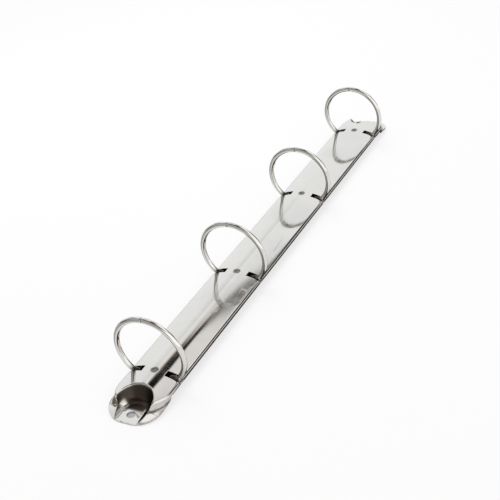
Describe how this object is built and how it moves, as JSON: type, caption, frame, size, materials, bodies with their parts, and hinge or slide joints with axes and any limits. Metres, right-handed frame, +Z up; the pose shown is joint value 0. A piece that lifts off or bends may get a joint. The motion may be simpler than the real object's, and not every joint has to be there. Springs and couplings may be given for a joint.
{
  "type": "ring binder mechanism",
  "caption": "Long plated steel binder mechanism: arched cover with riveting scoops, two toggle leaves and round split rings that snap open sideways.",
  "frame": {"origin": "under the middle of the cover, on the plane the floors of its two scoops lie on", "axes": "+Y along the cover through the row of rings, +X across it to the right half rings, +Z up through the rings"},
  "size_m": [0.0372, 0.295, 0.0368],
  "materials": {
    "cover_plating": "bright nickel plate on pressed steel, lightly wiped",
    "leaf_plating": "dull nickel plate on flat steel strip",
    "ring_plating": "bright nickel plate on drawn steel wire"
  },
  "bodies": {
    "cover": {"cover": "cover_plating"},
    "left": {"left_leaf": "leaf_plating", "left_half_ring_1": "ring_plating", "left_half_ring_2": "ring_plating", "left_half_ring_3": "ring_plating", "left_half_ring_4": "ring_plating"},
    "right": {"right_leaf": "leaf_plating", "right_half_ring_1": "ring_plating", "right_half_ring_2": "ring_plating", "right_half_ring_3": "ring_plating", "right_half_ring_4": "ring_plating"}
  },
  "joints": [
    {"name": "left_hinge", "type": "hinge", "parent": "cover", "child": "left", "pos_m": [-0.01215, 0, 0.00425], "axis": [0, -1, 0], "range_deg": [0, 15]},
    {"name": "right_hinge", "type": "hinge", "parent": "cover", "child": "right", "pos_m": [0.01215, 0, 0.00425], "axis": [0, 1, 0], "range_deg": [0, 15]}
  ],
  "couplings": [
    {"joint": "right_hinge", "follows": "left_hinge", "ratio": 1}
  ]
}
